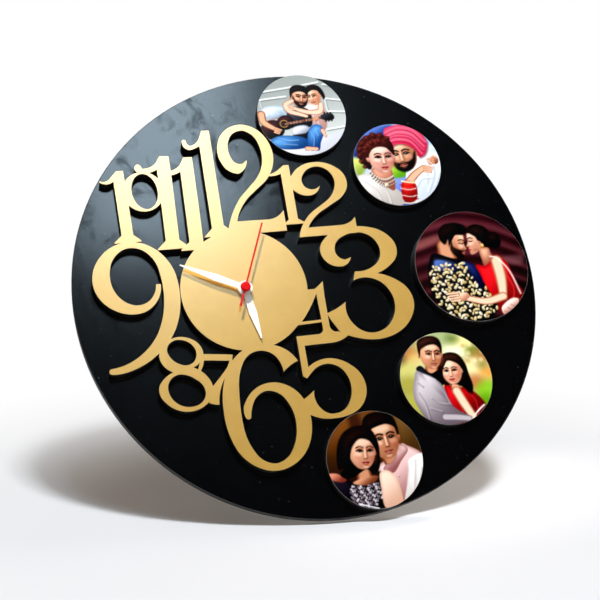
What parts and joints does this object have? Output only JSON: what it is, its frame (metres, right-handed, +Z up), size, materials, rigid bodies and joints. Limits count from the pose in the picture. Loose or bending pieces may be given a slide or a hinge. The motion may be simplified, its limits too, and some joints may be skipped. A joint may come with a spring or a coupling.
{
  "type": "wall clock",
  "caption": "Round gloss black wall clock with a cut-out gold numeral plate around an off-centre dial, raised picture discs down one side and a quartz movement behind.",
  "frame": {"origin": "on the axis of the hanging hole, at the rear face of the hanger plate", "axes": "+Y out of the back towards the wall, +Z up, +X to the right of someone facing the dial"},
  "size_m": [0.305, 0.0358, 0.305],
  "materials": {
    "black_lacquer_board": "MDF board, high-gloss black lacquer",
    "black_board": "black dyed board, smooth cut edge",
    "gold_facing": "satin gold laminate",
    "print": "laminated picture print",
    "white_enamel": "sheet aluminium, white enamel",
    "red_enamel": "sheet aluminium, red enamel",
    "red_plastic": "gloss red moulding",
    "black_plastic": "black ABS moulding",
    "white_nylon": "white acetal moulding",
    "amber_nylon": "amber acetal moulding",
    "brass": "turned brass",
    "rubber": "black rubber sheet",
    "steel": "zinc-plated sheet steel",
    "copper_wire": "enamelled copper winding",
    "green_board": "glass-epoxy circuit board",
    "cell_jacket": "plain printed steel jacket"
  },
  "bodies": {
    "clock": {"base_disc": "black_lacquer_board", "numeral_backing": "black_board", "numeral_facing": "gold_facing", "movement_case": "black_plastic", "movement_cover": "black_plastic", "train_plate": "black_plastic", "threaded_bush": "brass", "rubber_washer": "rubber", "brass_washer": "brass", "fixing_nut": "brass", "stator": "steel", "coil_bobbin": "white_nylon", "coil_winding": "copper_wire", "circuit_board": "green_board", "timing_chip": "black_plastic", "quartz_crystal": "steel", "battery_cell": "cell_jacket", "positive_contact": "steel", "negative_contact": "steel", "hanger_plate": "steel", "hanger_screws": "steel", "photo_disc_1": "black_board", "photo_print_1": "print", "photo_disc_2": "black_board", "photo_print_2": "print", "photo_disc_3": "black_board", "photo_print_3": "print", "photo_disc_4": "black_board", "photo_print_4": "print", "photo_disc_5": "black_board", "photo_print_5": "print"},
    "second": {"second_wheel": "white_nylon", "second_hand": "red_enamel", "second_hand_cap": "red_plastic"},
    "minute": {"minute_wheel": "white_nylon", "minute_hand": "white_enamel"},
    "hour": {"hour_wheel": "amber_nylon", "hour_hand": "white_enamel"},
    "third": {"third_wheel": "amber_nylon"},
    "intermediate": {"intermediate_wheel": "amber_nylon"},
    "rotor": {"rotor": "white_nylon"},
    "motion": {"motion_wheel": "white_nylon", "setting_knob": "white_nylon"}
  },
  "joints": [
    {"name": "second_spin", "type": "hinge", "parent": "clock", "child": "second", "pos_m": [-0.0425, -0.007, -0.1142], "axis": [0, 1, 0], "continuous": true},
    {"name": "minute_spin", "type": "hinge", "parent": "clock", "child": "minute", "pos_m": [-0.0425, -0.007, -0.1142], "axis": [0, 1, 0], "continuous": true},
    {"name": "hour_spin", "type": "hinge", "parent": "clock", "child": "hour", "pos_m": [-0.0425, -0.007, -0.1142], "axis": [0, 1, 0], "continuous": true},
    {"name": "third_spin", "type": "hinge", "parent": "clock", "child": "third", "pos_m": [-0.03469, -0.007, -0.10764], "axis": [0, 1, 0], "continuous": true},
    {"name": "intermediate_spin", "type": "hinge", "parent": "clock", "child": "intermediate", "pos_m": [-0.04844, -0.007, -0.10826], "axis": [0, 1, 0], "continuous": true},
    {"name": "rotor_spin", "type": "hinge", "parent": "clock", "child": "rotor", "pos_m": [-0.05083, -0.007, -0.10168], "axis": [0, 1, 0], "continuous": true},
    {"name": "motion_spin", "type": "hinge", "parent": "clock", "child": "motion", "pos_m": [-0.0533, -0.007, -0.1142], "axis": [0, 1, 0], "continuous": true}
  ],
  "couplings": [
    {"joint": "minute_spin", "follows": "second_spin", "ratio": 0.016667},
    {"joint": "hour_spin", "follows": "second_spin", "ratio": 0.0013889},
    {"joint": "third_spin", "follows": "second_spin", "ratio": -0.13333},
    {"joint": "intermediate_spin", "follows": "second_spin", "ratio": -5},
    {"joint": "rotor_spin", "follows": "second_spin", "ratio": 30},
    {"joint": "motion_spin", "follows": "second_spin", "ratio": -0.0055556}
  ]
}
